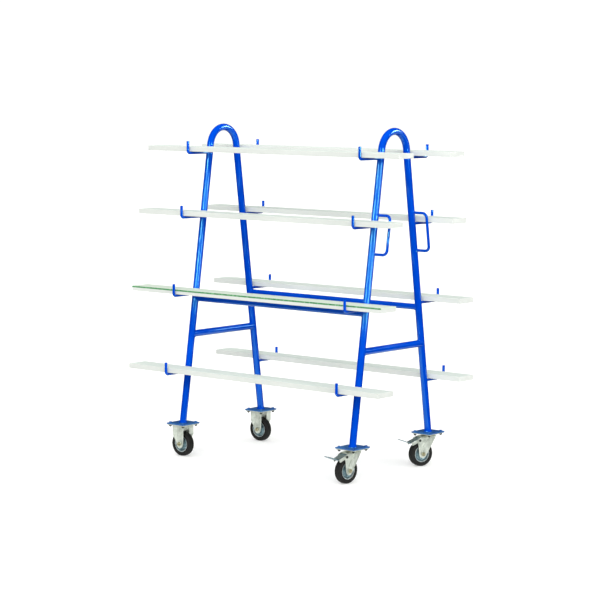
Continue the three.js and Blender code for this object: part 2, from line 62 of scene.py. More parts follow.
def addNode(tree, kind, sockets=None, links=None, stops=()):
    node = tree.nodes.new(kind)
    for name, value in (sockets or {}).items():
        node.inputs[name].default_value = value
    for name, source in (links or {}).items():
        tree.links.new(source, node.inputs[name])
    for index, (at, code) in enumerate(stops):
        band = node.color_ramp.elements
        element = band[index] if index < len(band) else band.new(at)
        element.position = at
        element.color = hexToLinear(code)
    return node


def startMaterial(name, sockets):
    material = bpy.data.materials.new(name)
    material.use_nodes = True
    tree = material.node_tree
    shader = tree.nodes["Principled BSDF"]
    for key, value in sockets.items():
        shader.inputs[key].default_value = value
    place = addNode(tree, "ShaderNodeTexCoord").outputs["Object"]
    return material, tree, shader, place


def perMm(size):
    return 1000 / size  # texture scale for a pattern of this size in millimetres


# Materials

powderCoat = {
    "thin": "#0049CB", "body": "#0043C1", "thick": "#003DB5",
    "sheen": "#78E6FF", "cloudMm": 140, "gloss": (0.05, 0.1),
}
dustedCoat = {  # the same paint on the foot plates, dulled by workshop dust
    "thin": "#306EA8", "body": "#165AA0", "thick": "#0C4892",
    "sheen": "#D5F0FF", "cloudMm": 26, "gloss": (0.4, 0.6),
}
orangePeel = {"sizeMm": 5, "bump": 0.05, "depth": 0.0004}  # about 2 mm on real paint, drawn coarser to show


def makePowderCoat(name, look):
    # polyester powder coat baked on steel: glossy, faint orange peel, depth of colour drifts a little
    material, tree, shader, place = startMaterial(
        name, {"IOR": 1.5, "Specular IOR Level": 1.0, "Specular Tint": hexToLinear(look["sheen"])}
    )
    cloud = addNode(
        tree, "ShaderNodeTexNoise",
        sockets={"Scale": perMm(look["cloudMm"]), "Detail": 4.0}, links={"Vector": place},
    ).outputs["Fac"]
    colour = addNode(
        tree, "ShaderNodeValToRGB", links={"Fac": cloud},
        stops=[(0.3, look["thick"]), (0.5, look["body"]), (0.7, look["thin"])],
    )
    gloss = addNode(
        tree, "ShaderNodeMapRange",
        sockets={"To Min": look["gloss"][0], "To Max": look["gloss"][1]}, links={"Value": cloud},
    )
    peel = addNode(
        tree, "ShaderNodeTexNoise",
        sockets={"Scale": perMm(orangePeel["sizeMm"]), "Detail": 2.0}, links={"Vector": place},
    ).outputs["Fac"]
    bump = addNode(
        tree, "ShaderNodeBump",
        sockets={"Strength": orangePeel["bump"], "Distance": orangePeel["depth"]}, links={"Height": peel},
    )
    tree.links.new(colour.outputs["Color"], shader.inputs["Base Color"])
    tree.links.new(gloss.outputs["Result"], shader.inputs["Roughness"])
    tree.links.new(bump.outputs["Normal"], shader.inputs["Normal"])
    return material


zincPlate = {
    "bright": "#E4E9DF", "body": "#D3DACF", "dull": "#B4BCB0",
    "cloudMm": 22, "spangleMm": 3, "gloss": (0.3, 0.48),
}
rimZinc = {
    "bright": "#F2F8F7", "body": "#DFEBEB", "dull": "#B2C6CA",
    "cloudMm": 18, "spangleMm": 2.5, "gloss": (0.28, 0.45),
}
webZinc = {  # the rim's recess, darker: painted shade in the hollow; on the pedal treads the same zinc stands for sole wear
    "bright": "#A3BAC0", "body": "#7E989F", "dull": "#4F656B",
    "cloudMm": 14, "spangleMm": 2.5, "gloss": (0.4, 0.6),
}
raceZinc = {
    "bright": "#D2CFB4", "body": "#B5B193", "dull": "#8C8969",
    "cloudMm": 20, "spangleMm": 3, "gloss": (0.3, 0.5),
}
# dark steel for the brake pins, nuts and thread ends; on the brake pins the darkness is painted shade, in
# place of the shade of a hollow head
darkSteel = {
    "bright": "#5A5F58", "body": "#454A44", "dull": "#343833",
    "cloudMm": 6, "spangleMm": 1, "gloss": (0.45, 0.65),
}
plateSpangle = {"bump": 0.08, "depth": 0.0003}


def makePlatedSteel(name, look):
    # electroplated steel and the dark steel: soft metal gloss with a passivation tint and a fine spangle
    material, tree, shader, place = startMaterial(name, {"Metallic": 0.85})
    cloud = addNode(
        tree, "ShaderNodeTexNoise",
        sockets={"Scale": perMm(look["cloudMm"]), "Detail": 6.0, "Roughness": 0.6},
        links={"Vector": place},
    ).outputs["Fac"]
    spangle = addNode(
        tree, "ShaderNodeTexVoronoi", sockets={"Scale": perMm(look["spangleMm"])}, links={"Vector": place}
    ).outputs["Distance"]
    colour = addNode(
        tree, "ShaderNodeValToRGB", links={"Fac": cloud},
        stops=[(0.32, look["dull"]), (0.52, look["body"]), (0.72, look["bright"])],
    )
    gloss = addNode(
        tree, "ShaderNodeMapRange",
        sockets={"To Min": look["gloss"][0], "To Max": look["gloss"][1]}, links={"Value": cloud},
    )
    bump = addNode(
        tree, "ShaderNodeBump",
        sockets={"Strength": plateSpangle["bump"], "Distance": plateSpangle["depth"]},
        links={"Height": spangle},
    )
    tree.links.new(colour.outputs["Color"], shader.inputs["Base Color"])
    tree.links.new(gloss.outputs["Result"], shader.inputs["Roughness"])
    tree.links.new(bump.outputs["Normal"], shader.inputs["Normal"])
    return material


tyreRubber = {
    "black": "#0D0D0C", "worn": "#1C1C18", "scuffMm": 16, "gloss": (0.6, 0.85),
    "grainMm": 1.2, "bump": 0.25, "depth": 0.0003,
}


def makeTyreRubber():
    # moulded solid rubber: matt black, scuffed grey in patches, fine mould grain
    material, tree, shader, place = startMaterial(
        "moulded_rubber_black", {"IOR": 1.52, "Specular IOR Level": 0.3}
    )
    scuff = addNode(
        tree, "ShaderNodeTexNoise",
        sockets={"Scale": perMm(tyreRubber["scuffMm"]), "Detail": 5.0}, links={"Vector": place},
    ).outputs["Fac"]
    grain = addNode(
        tree, "ShaderNodeTexNoise",
        sockets={"Scale": perMm(tyreRubber["grainMm"]), "Detail": 2.0}, links={"Vector": place},
    ).outputs["Fac"]
    colour = addNode(
        tree, "ShaderNodeValToRGB", links={"Fac": scuff},
        stops=[(0.42, tyreRubber["black"]), (0.75, tyreRubber["worn"])],
    )
    gloss = addNode(
        tree, "ShaderNodeMapRange",
        sockets={"To Min": tyreRubber["gloss"][0], "To Max": tyreRubber["gloss"][1]},
        links={"Value": scuff},
    )
    bump = addNode(
        tree, "ShaderNodeBump",
        sockets={"Strength": tyreRubber["bump"], "Distance": tyreRubber["depth"]}, links={"Height": grain},
    )
    tree.links.new(colour.outputs["Color"], shader.inputs["Base Color"])
    tree.links.new(gloss.outputs["Result"], shader.inputs["Roughness"])
    tree.links.new(bump.outputs["Normal"], shader.inputs["Normal"])
    return material


boardFace = {
    "bright": "#DBE4DC", "body": "#D5DED6", "grey": "#CED6CE",
    "cloudMm": 260, "pearlMm": 2.2, "gloss": (0.6, 0.74),
}
boardEdge = {
    "bright": "#DBDFD9", "body": "#D5D9D3", "grey": "#CED3CD",
    "cloudMm": 120, "pearlMm": 1.6, "gloss": (0.5, 0.64),
}
rearEdgePaintedLight = {  # the rear boards' banding is painted a little whiter: painted light that makes up for the shade the front boards cast on it
    "bright": "#DFE3DD", "body": "#D9DDD7", "grey": "#D2D7D1",
    "cloudMm": 120, "pearlMm": 1.6, "gloss": (0.5, 0.64),
}
boardTexture = {"cloudStretch": 0.35, "bump": 0.1, "depth": 0.0002}  # clouds are drawn out along the board


def makeBoardSkin(name, look):
    # melamine film, or the banding on its edges: even satin, fine pearl texture, faint handling marks
    material, tree, shader, place = startMaterial(name, {"IOR": 1.5, "Specular IOR Level": 0.28})
    stretch = addNode(
        tree, "ShaderNodeMapping",
        sockets={"Scale": (boardTexture["cloudStretch"], 1.0, 1.0)}, links={"Vector": place},
    ).outputs["Vector"]
    cloud = addNode(
        tree, "ShaderNodeTexNoise",
        sockets={"Scale": perMm(look["cloudMm"]), "Detail": 5.0}, links={"Vector": stretch},
    ).outputs["Fac"]
    pearl = addNode(
        tree, "ShaderNodeTexNoise",
        sockets={"Scale": perMm(look["pearlMm"]), "Detail": 2.0}, links={"Vector": place},
    ).outputs["Fac"]
    colour = addNode(
        tree, "ShaderNodeValToRGB", links={"Fac": cloud},
        stops=[(0.3, look["grey"]), (0.5, look["body"]), (0.68, look["bright"])],
    )
    gloss = addNode(
        tree, "ShaderNodeMapRange",
        sockets={"To Min": look["gloss"][0], "To Max": look["gloss"][1]}, links={"Value": pearl},
    )
    bump = addNode(
        tree, "ShaderNodeBump",
        sockets={"Strength": boardTexture["bump"], "Distance": boardTexture["depth"]},
        links={"Height": pearl},
    )
    tree.links.new(colour.outputs["Color"], shader.inputs["Base Color"])
    tree.links.new(gloss.outputs["Result"], shader.inputs["Roughness"])
    tree.links.new(bump.outputs["Normal"], shader.inputs["Normal"])
    return material


floatGlass = {
    "face": "#D8E4D4", "veil": 0.95, "edgeDeep": "#438C54", "edgeLight": "#82C08C",
    "smearMm": 90, "faceGloss": (0.42, 0.56), "chipMm": 9, "edgeGloss": (0.15, 0.35),
}


def makeGlassFace():
    # float glass seen through its thin way: a pale green veil over the board, dulled by handling dust
    material, tree, shader, place = startMaterial(
        "float_glass", {
            "Base Color": hexToLinear(floatGlass["face"]), "IOR": 1.52, "Alpha": floatGlass["veil"],
            "Specular IOR Level": 0.03,
        }
    )
    smear = addNode(
        tree, "ShaderNodeTexNoise",
        sockets={"Scale": perMm(floatGlass["smearMm"]), "Detail": 3.0}, links={"Vector": place},
    ).outputs["Fac"]
    gloss = addNode(
        tree, "ShaderNodeMapRange",
        sockets={"To Min": floatGlass["faceGloss"][0], "To Max": floatGlass["faceGloss"][1]},
        links={"Value": smear},
    )
    tree.links.new(gloss.outputs["Result"], shader.inputs["Roughness"])
    return material


def makeGlassEdge():
    # cut and seamed glass edge: the long way through shows the iron green
    material, tree, shader, place = startMaterial(
        "float_glass_edge", {"IOR": 1.52, "Transmission Weight": 0.2}
    )
    chip = addNode(
        tree, "ShaderNodeTexNoise",
        sockets={"Scale": perMm(floatGlass["chipMm"]), "Detail": 4.0}, links={"Vector": place},
    ).outputs["Fac"]
    colour = addNode(
        tree, "ShaderNodeValToRGB", links={"Fac": chip},
        stops=[(0.35, floatGlass["edgeDeep"]), (0.7, floatGlass["edgeLight"])],
    )
    gloss = addNode(
        tree, "ShaderNodeMapRange",
        sockets={"To Min": floatGlass["edgeGloss"][0], "To Max": floatGlass["edgeGloss"][1]},
        links={"Value": chip},
    )
    tree.links.new(colour.outputs["Color"], shader.inputs["Base Color"])
    tree.links.new(gloss.outputs["Result"], shader.inputs["Roughness"])
    return material


paint = makePowderCoat("powder_coat_blue", powderCoat)
dustyPaint = makePowderCoat("powder_coat_blue_dusted", dustedCoat)
zinc = makePlatedSteel("zinc_plate", zincPlate)
rimMetal = makePlatedSteel("zinc_plate_blue_passivated", rimZinc)
raceMetal = makePlatedSteel("zinc_plate_yellow_passivated", raceZinc)
webMetal = makePlatedSteel("zinc_plate_shade_and_wear", webZinc)
pinMetal = makePlatedSteel("dark_steel", darkSteel)
rubber = makeTyreRubber()
melamine = makeBoardSkin("melamine_white", boardFace)
bandings = {
    "front": makeBoardSkin("abs_edge_band_white", boardEdge),
    # the rear banding's extra whiteness is painted light
    "rear": makeBoardSkin("abs_edge_band_white_painted_light", rearEdgePaintedLight),
}
glassFace = makeGlassFace()
glassEdge = makeGlassEdge()
print("materials made")


# Mesh helpers

finer = {"mergeReach": 1e-6, "flatDegrees": 0.5, "sharpDegrees": 35, "bevelDegrees": 40}
bevels = {"footPlate": 0.0008, "pressing": 0.0006, "pin": 0.0005, "board": 0.0014, "glass": 0.0007}
hexChamferSlope = 1.6  # how far a hexagon's chamfer runs in, for each unit of its height


def keepMesh(name, work, materials, body, nodes=()):
    bmesh.ops.recalc_face_normals(work, faces=work.faces)
    mesh = bpy.data.meshes.new(name)
    work.to_mesh(mesh)
    work.free()
    for material in materials:
        mesh.materials.append(material)
    mesh.shade_smooth()
    mesh.set_sharp_from_angle(angle=math.radians(finer["sharpDegrees"]))
    piece = bpy.data.objects.new(name, mesh)
    bpy.context.scene.collection.objects.link(piece)
    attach(piece, body)
    if nodes:
        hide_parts(*nodes)
    return piece


def finerCopy(node, material, body, bevel, segments=2):
    work = bmesh.new()
    work.from_mesh(frame["nodes"][node].data)
    bmesh.ops.remove_doubles(work, verts=work.verts, dist=finer["mergeReach"])
    flat = math.radians(finer["flatDegrees"])
    bmesh.ops.dissolve_limit(work, angle_limit=flat, verts=work.verts, edges=work.edges)
    for face in work.faces:
        face.material_index = 0
    piece = keepMesh(f"{node}_piece", work, [material], body, [node])
    edge = piece.modifiers.new("broken edges", "BEVEL")
    edge.width = bevel
    edge.segments = segments
    edge.limit_method = "ANGLE"
    edge.angle_limit = math.radians(finer["bevelDegrees"])
    edge.harden_normals = True
    return piece


def bendPath(corners, radius, steps):
    path = [corners[0]]
    for before, corner, after in zip(corners, corners[1:], corners[2:]):
        back = (before - corner).normalized()
        onward = (after - corner).normalized()
        half = back.angle(onward) / 2
        centre = corner + (back + onward).normalized() * radius / math.sin(half)
        spoke = corner + back * radius / math.tan(half) - centre
        axis = onward.cross(back).normalized()
        turn = math.pi - 2 * half
        for step in range(steps + 1):
            path.append(centre + Matrix.Rotation(turn * step / steps, 3, axis) @ spoke)
    path.append(corners[-1])
    return path


def ringsAlong(path, radii, count):
    rings = []
    normal = None
    for index, spot in enumerate(path):
        tangent = Vector()
        if index:
            tangent += (spot - path[index - 1]).normalized()
        if index < len(path) - 1:
            tangent += (path[index + 1] - spot).normalized()
        tangent.normalize()
        normal = tangent.orthogonal() if normal is None else normal
        normal = (normal - tangent * normal.dot(tangent)).normalized()
        across = tangent.cross(normal)
        turns = [2 * math.pi * step / count for step in range(count)]
        rings.append([spot + (normal * math.cos(t) + across * math.sin(t)) * radii[index] for t in turns])
    return rings


def skin(work, rings, closed=False):
    made = [[work.verts.new(spot) for spot in ring] for ring in rings]
    pairs = list(zip(made, made[1:]))
    if closed:
        pairs.append((made[-1], made[0]))
    for low, high in pairs:
        for step in range(len(low)):
            after = (step + 1) % len(low)
            work.faces.new((low[step], low[after], high[after], high[step]))
    if not closed:
        work.faces.new(made[0])
        work.faces.new(made[-1])


def turnProfile(work, profile, count, centre, axis, hollow=False):
    axis = Vector(axis).normalized()
    out = axis.orthogonal().normalized()
    across = axis.cross(out)
    rings = []
    for radius, along in profile:
        turns = [2 * math.pi * step / count for step in range(count)]
        rings.append([
            centre + axis * along + (out * math.cos(t) + across * math.sin(t)) * radius for t in turns
        ])
    skin(work, rings, closed=hollow)


def hexPiece(work, centre, axis, acrossFlats, height, chamfer):
    corner = acrossFlats / math.sqrt(3)
    profile = [(corner, 0), (corner, height - chamfer), (corner - hexChamferSlope * chamfer, height)]
    turnProfile(work, profile, 6, centre, axis)


# Welded frame

weldment = {  # metres, from the part's own sizes
    "spacing": 1.1, "footSpread": 0.61, "legFoot": 0.1716, "hoopTop": 1.671, "hoopBend": 0.1,
    "tube": 0.035, "tieHeight": 0.621, "rail": 0.03, "railDrop": 0.022, "tubeSides": 40, "hoopSteps": 32,
    "bottomArm": 0.431, "armPitch": 0.394, "topArmDrop": 0.042, "reach": 0.165,
    "bar": 0.014, "barBend": 0.014, "upright": 0.06, "barChamfer": 0.0012, "barSides": 24, "barSteps": 10,
    "gripHeight": 1.18, "gripLength": 0.186, "gripReach": 0.091, "gripBend": 0.024,
}
legRadius = weldment["tube"] / 2
railRadius = weldment["rail"] / 2
barRadius = weldment["bar"] / 2


def leanOfLegs():
    out = weldment["footSpread"] / 2
    down = weldment["legFoot"] - (weldment["hoopTop"] - weldment["hoopBend"])
    return math.atan2(down, out) + math.acos(weldment["hoopBend"] / math.hypot(out, down))


lean = leanOfLegs()
bendStart = weldment["hoopTop"] - weldment["hoopBend"] * (1 - math.sin(lean))
armHeights = [weldment["bottomArm"] + weldment["armPitch"] * level for level in range(3)]
railHeight = armHeights[1] - weldment["railDrop"]
armHeights.append(bendStart - weldment["topArmDrop"])


def middleOfFeet():
    plates = [f"{end}_{side}_foot_plate" for end in ends for side in sides]
    corners = [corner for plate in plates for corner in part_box(plate)]
    spot = sum(corners, Vector()) / len(corners)
    return Vector((spot.x, spot.y, 0))


cartPlace = middleOfFeet()


def legSpot(end, side, height):
    out = weldment["footSpread"] / 2 - (height - weldment["legFoot"]) * math.tan(lean)
    return cartPlace + Vector((ends[end] * weldment["spacing"] / 2, sides[side] * out, height))


def legDirection(side):
    return Vector((0, -sides[side] * math.sin(lean), math.cos(lean)))


def levelEnd(ring, direction, height):
    return [spot + direction * (height - spot.z) / direction.z for spot in ring]


def makeHoop(end):
    feet = [legSpot(end, side, weldment["legFoot"]) for side in sides]
    peak = weldment["hoopTop"] - weldment["hoopBend"] + weldment["hoopBend"] / math.sin(lean)
    apex = Vector((feet[0].x, cartPlace.y, peak))
    path = bendPath([feet[0], apex, feet[1]], weldment["hoopBend"], weldment["hoopSteps"])
    rings = ringsAlong(path, [legRadius] * len(path), weldment["tubeSides"])
    rings[0] = levelEnd(rings[0], legDirection("front"), weldment["legFoot"])
    rings[-1] = levelEnd(rings[-1], legDirection("rear"), weldment["legFoot"])
    work = bmesh.new()
    skin(work, rings)
    keepMesh(f"{end}_hoop_tube", work, [paint], "frame", [f"{end}_hoop_frame"])


def makeStraightTube(name, start, finish, radius, node):
    work = bmesh.new()
    skin(work, ringsAlong([start, finish], [radius] * 2, weldment["tubeSides"]))
    keepMesh(name, work, [paint], "frame", [node])


def makeBar(name, corners, bend, node, freeEnd):
    path = bendPath(corners, bend, weldment["barSteps"])
    radii = [barRadius] * len(path)
    if freeEnd:  # the cut end has its edge broken
        step = (path[-1] - path[-2]).normalized() * weldment["barChamfer"]
        path.insert(-1, path[-1] - step)
        radii.append(barRadius - weldment["barChamfer"])
    work = bmesh.new()
    skin(work, ringsAlong(path, radii, weldment["barSides"]))
    keepMesh(name, work, [paint], "frame", [node])


def makeArms():
    for end in ends:
        for side in sides:
            for level, height in enumerate(armHeights, 1):
                root = legSpot(end, side, height)
                elbow = root + Vector((0, sides[side] * weldment["reach"], 0))
                top = elbow + Vector((0, 0, weldment["upright"]))
                label = f"{end}_{side}_arm_{level}"
                makeBar(f"{label}_bar", [root, elbow, top], weldment["barBend"], label, True)


def gripEnds(side):
    half = weldment["gripLength"] / 2
    return [legSpot("right", side, weldment["gripHeight"] + rise) for rise in (-half, half)]


def makeHandles():
    reach = Vector((weldment["gripReach"], 0, 0))
    for side in sides:
        low, high = gripEnds(side)
        label = f"{side}_push_handle"
        makeBar(f"{label}_bar", [low, low + reach, high + reach, high], weldment["gripBend"], label, False)


def makeFrameTubes():
    for end in ends:
        makeHoop(end)
        tie = [legSpot(end, side, weldment["tieHeight"]) for side in sides]
        makeStraightTube(f"{end}_tie_tube", *tie, legRadius, f"{end}_tie_bar")
    for side in sides:
        rail = [legSpot(end, side, railHeight) for end in ends]
        makeStraightTube(f"{side}_rail_tube", *rail, railRadius, f"{side}_long_rail")


makeFrameTubes()
makeArms()
makeHandles()
print("tubes and bars made")


# Weld beads, painted over with the frame

weld = {
    "tubeBead": 0.0036, "barBead": 0.0026, "steps": 96, "sides": 8,
    "ripple": 0.0022, "coarser": 3, "fewest": 6, "rippleShare": 0.14,  # ripples are drawn coarser to show
}


def beadRings(curve, radius):
    length = sum((a - b).length for a, b in zip(curve, curve[1:] + curve[:1]))
    waves = max(weld["fewest"], round(length / weld["ripple"] / weld["coarser"]))
    rings = []
    count = len(curve)
    centre = sum(curve, Vector()) / count
    for index, spot in enumerate(curve):
        tangent = (curve[(index + 1) % count] - curve[index - 1]).normalized()
        out = spot - centre
        out = (out - tangent * out.dot(tangent)).normalized()
        across = tangent.cross(out)
        size = radius * (1 + weld["rippleShare"] * math.sin(2 * math.pi * waves * index / count))
        turns = [2 * math.pi * step / weld["sides"] for step in range(weld["sides"])]
        rings.append([spot + (out * math.cos(t) + across * math.sin(t)) * size for t in turns])
    return rings


def saddleCurve(root, direction, barSize, legPoint, legAxis):
    direction = direction.normalized()
    out = direction.orthogonal().normalized()
    across = direction.cross(out)
    flat = direction - legAxis * direction.dot(legAxis)
    curve = []
    for step in range(weld["steps"]):
        turn = 2 * math.pi * step / weld["steps"]
        spot = root + (out * math.cos(turn) + across * math.sin(turn)) * barSize
        gap = spot - legPoint
        gap -= legAxis * gap.dot(legAxis)
        a, b, c = flat.dot(flat), 2 * gap.dot(flat), gap.dot(gap) - legRadius ** 2
        reach = (-b + math.sqrt(max(b * b - 4 * a * c, 0))) / (2 * a)
        curve.append(spot + direction * reach)
    return curve


def footCurve(end, side):
    foot = legSpot(end, side, weldment["legFoot"])
    axis = legDirection(side)
    rings = ringsAlong([foot, foot + axis], [legRadius] * 2, weld["steps"])
    return levelEnd(rings[0], axis, weldment["legFoot"])


def makeWelds():
    for end in ends:
        work = bmesh.new()
        for side in sides:
            axis = legDirection(side)
            outward = Vector((0, sides[side], 0))
            inward = Vector((-ends[end], 0, 0))
            spots = [(height, outward, barRadius) for height in armHeights]
            spots.append((weldment["tieHeight"], -outward, legRadius))
            spots.append((railHeight, inward, railRadius))
            if end == "right":
                spots += [(spot.z, Vector((1, 0, 0)), barRadius) for spot in gripEnds(side)]
            for height, direction, size in spots:
                root = legSpot(end, side, height)
                bead = weld["tubeBead"] if size > barRadius else weld["barBead"]
                skin(work, beadRings(saddleCurve(root, direction, size, root, axis), bead), closed=True)
            skin(work, beadRings(footCurve(end, side), weld["tubeBead"]), closed=True)
        keepMesh(f"{end}_weld_beads", work, [paint], "frame")


makeWelds()
for end in ends:
    for side in sides:
        finerCopy(f"{end}_{side}_foot_plate", dustyPaint, "frame", bevels["footPlate"])
print("welds and foot plates made")


# Castors

tyreShape = {  # half the outline: radius and distance from the wheel's middle, in millimetres
    "segments": 128,
    "half": [
        (41.8, 15.5), (43.2, 18.2), (45, 18.75), (47.5, 18.75), (48, 18.45), (48.6, 18.75),
        (54, 18.75), (57, 18.2), (59.6, 16.6), (61.3, 14.2), (62.2, 11), (62.5, 7), (62.5, 2),
        (62.15, 1.4), (62.15, 0.4),
    ],
}
rimShape = {  # in the same way, with the two radii of the web, whose shade is painted, and a rivet's head and place
    "segments": 96, "web": (17, 37), "rivets": 5, "rivetSides": 16, "rivetPlace": (26.5, 5.2),
    "half": [
        (6.3, 22), (9, 22), (9.4, 21.2), (13, 21.2), (13.6, 20), (16.4, 20), (17, 19.2),
        (17.4, 11), (19, 8.2), (22, 6.6), (28, 5.6), (32, 6), (35, 8), (37.2, 11.5), (38.6, 15),
        (40, 16.6), (41.2, 16.4), (41.5, 15.2), (41.5, 13),
    ],
    "rivet": [(3.6, 0), (3.6, 1.2), (2.8, 2.2), (1.2, 2.7)],
}


def wheelPlace(label):
    spin = joints[f"{label}_wheel_spin"]
    return Vector(spin["pos_m"]), Vector(spin["axis"])


def mirrored(half):
    return half + [(radius, -along) for radius, along in reversed(half)]


def inMetres(profile):
    return [(radius / 1000, along / 1000) for radius, along in profile]


def makeTyre(label):
    centre, axis = wheelPlace(label)
    outline = inMetres(mirrored(tyreShape["half"]))
    work = bmesh.new()
    turnProfile(work, outline, tyreShape["segments"], centre, axis, hollow=True)
    keepMesh(f"{label}_tyre_moulding", work, [rubber], f"{label}_wheel", [f"{label}_tyre"])


def makeRim(label):
    centre, axis = wheelPlace(label)
    outline = inMetres(mirrored(rimShape["half"]))
    rivet = inMetres(rimShape["rivet"])
    [(ring, seat)] = inMetres([rimShape["rivetPlace"]])
    work = bmesh.new()
    turnProfile(work, outline, rimShape["segments"], centre, axis, hollow=True)
    out = axis.orthogonal().normalized()
    for index in range(rimShape["rivets"]):
        spoke = Matrix.Rotation(2 * math.pi * index / rimShape["rivets"], 3, axis) @ out
        for facing in (1, -1):
            spot = centre + spoke * ring + axis * facing * seat
            turnProfile(work, rivet, rimShape["rivetSides"], spot, axis * facing)
    # the web between these radii gets the darker zinc: painted shade in the rim's recess
    inner, outer = rimShape["web"]
    for face in work.faces:
        gap = face.calc_center_median() - centre
        radius = (gap - axis * gap.dot(axis)).length
        face.material_index = 1 if inner < radius * 1000 < outer else 0
    metals = [rimMetal, webMetal]
    keepMesh(f"{label}_rim_pressing", work, metals, f"{label}_wheel", [f"{label}_wheel_rim"])


axleShape = {
    "across": 0.019, "height": 0.0075, "chamfer": 0.0009, "forkOutside": 0.0265,
    "shank": [(0.0052, -0.042), (0.006, -0.041), (0.006, 0.036), (0.0052, 0.037)], "shankSides": 24,
    "washer": [(0.013, 0), (0.013, 0.0012), (0.0124, 0.0018)], "washerSides": 32, "washerHeight": 0.0018,
}


def makeAxle(label, body):
    centre, axis = wheelPlace(label)
    work = bmesh.new()
    for facing in (1, -1):
        seat = centre + axis * facing * axleShape["forkOutside"]
        turnProfile(work, axleShape["washer"], axleShape["washerSides"], seat, axis * facing)
    for face in work.faces:
        face.material_index = 1  # washers stay bright, the bolt and nut are yellow
    turnProfile(work, axleShape["shank"], axleShape["shankSides"], centre, axis)
    height = axleShape["height"] - axleShape["washerHeight"]
    for facing in (1, -1):
        seat = centre + axis * facing * (axleShape["forkOutside"] + axleShape["washerHeight"])
        hexPiece(work, seat, axis * facing, axleShape["across"], height, axleShape["chamfer"])
    metals = [raceMetal, zinc]
    keepMesh(f"{label}_axle_fastener", work, metals, body, [f"{label}_axle_bolt"])


boltShape = {
    "inset": 0.014, "radius": 0.004, "root": 0.0034, "pitch": 0.00125, "turns": 3, "sides": 16,
    "insideNut": 0.002, "endChamfer": 0.0006, "nutBottom": 0.0108, "nutReach": 0.008,
    "plate": 0.0045, "raceReach": 0.04,
}


def boltSpots(label):
    low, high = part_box(f"{label}_foot_plate")
    inset = boltShape["inset"]
    across = (low.x + inset, high.x - inset)
    along = (low.y + inset, high.y - inset)
    return [Vector((x, y, low.z)) for x in across for y in along]


def makeThreadEnds(label):
    profile = [(boltShape["radius"], -boltShape["insideNut"])]
    for turn in range(boltShape["turns"]):
        along = turn * boltShape["pitch"]
        profile += [(boltShape["radius"], along), (boltShape["root"], along + boltShape["pitch"] / 2)]
    profile.append((boltShape["root"] - boltShape["endChamfer"], boltShape["turns"] * boltShape["pitch"]))
    work = bmesh.new()
    for spot in boltSpots(label):
        end = spot - Vector((0, 0, boltShape["nutBottom"]))
        turnProfile(work, profile, boltShape["sides"], end, (0, 0, -1))
    keepMesh(f"{label}_thread_ends", work, [pinMetal], "frame")


def dressPlate(node, label):
    piece = finerCopy(node, zinc, "frame", bevels["pressing"])
    piece.data.materials.append(dustyPaint)  # the bolt heads are painted with the foot plate
    piece.data.materials.append(raceMetal)
    piece.data.materials.append(pinMetal)
    low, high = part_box(f"{label}_foot_plate")
    middle = (low + high) / 2
    bolts = boltSpots(label)
    for face in piece.data.polygons:
        fromMiddle = (face.center - middle).xy.length
        fromBolt = min((face.center - bolt).xy.length for bolt in bolts)
        underPlate = face.center.z < low.z - boltShape["plate"]
        if face.center.z > high.z:
            face.material_index = 1
        elif underPlate and fromBolt < boltShape["nutReach"]:
            face.material_index = 3
        elif "swivel" in node and underPlate and fromMiddle < boltShape["raceReach"]:
            face.material_index = 2


treadRibs = {
    "count": 4, "first": 0.008, "pitch": 0.011, "width": 0.0042, "height": 0.0016, "half": 0.0185,
    "rise": 0.006, "drop": 0.019, "neck": 0.05, "sheet": 0.003, "leastUpward": 0.3,
}


def pedalPlace(label):
    press = joints[f"{label}_brake_press"]
    return Vector(press["pos_m"]), Vector(press["axis"])


def dressPedal(label):
    piece = finerCopy(f"{label}_brake_pedal", zinc, f"{label}_brake", bevels["pressing"])
    piece.data.materials.append(webMetal)  # shoe soles leave the tread and its tip dark
    pivot, across = pedalPlace(label)
    ahead = Vector((across.y, -across.x, 0))
    for face in piece.data.polygons:
        reach = (face.center - pivot).dot(ahead)
        onTread = face.normal.z > treadRibs["leastUpward"] and reach > 0
        face.material_index = 1 if onTread or reach > treadRibs["neck"] else 0


def makeTreadRibs(label):
    pivot, across = pedalPlace(label)
    ahead = Vector((across.y, -across.x, 0))
    slope = treadRibs["drop"] / treadRibs["neck"]
    along = (ahead - Vector((0, 0, slope))).normalized()
    top = pivot + Vector((0, 0, treadRibs["rise"] + treadRibs["sheet"]))
    out = across.cross(along).normalized()
    out = out if out.z > 0 else -out
    # a rib's section, in half widths along the pedal and heights above it
    section = [(-1, -0.4), (1, -0.4), (0.75, 0.6), (0.3, 1), (-0.3, 1), (-0.75, 0.6)]
    work = bmesh.new()
    for index in range(treadRibs["count"]):
        spot = top + along * (treadRibs["first"] + index * treadRibs["pitch"])
        ring = [
            spot + along * x * treadRibs["width"] / 2 + out * y * treadRibs["height"] for x, y in section
        ]
        skin(work, [[p + across * side * treadRibs["half"] for p in ring] for side in (-1, 1)])
    keepMesh(f"{label}_tread_ribs", work, [zinc], f"{label}_brake")


for end in ends:
    for side in sides:
        label = f"{end}_{side}"
        makeTyre(label)
        makeRim(label)
        makeAxle(label, "frame" if end == "left" else f"{label}_swivel")
        dressPlate(f"{label}_fixed_fork" if end == "left" else f"{label}_swivel_plate", label)
        makeThreadEnds(label)
for side in sides:
    label = f"right_{side}"
    finerCopy(f"{label}_swivel_fork", zinc, f"{label}_swivel", bevels["pressing"])
    # the brake pin's dark steel is painted shade, in place of a hollow head's shade
    finerCopy(f"{label}_brake_pin", pinMetal, f"{label}_swivel", bevels["pin"])
    dressPedal(label)
    makeTreadRibs(label)
print("castors made")


# Boards and glass

def bandEdges(piece, material, bandEnds):
    piece.data.materials.append(material)
    for face in piece.data.polygons:
        onEdge = abs(face.normal.y) > 0.5 or (bandEnds and abs(face.normal.x) > 0.5)
        face.material_index = 1 if onEdge else 0


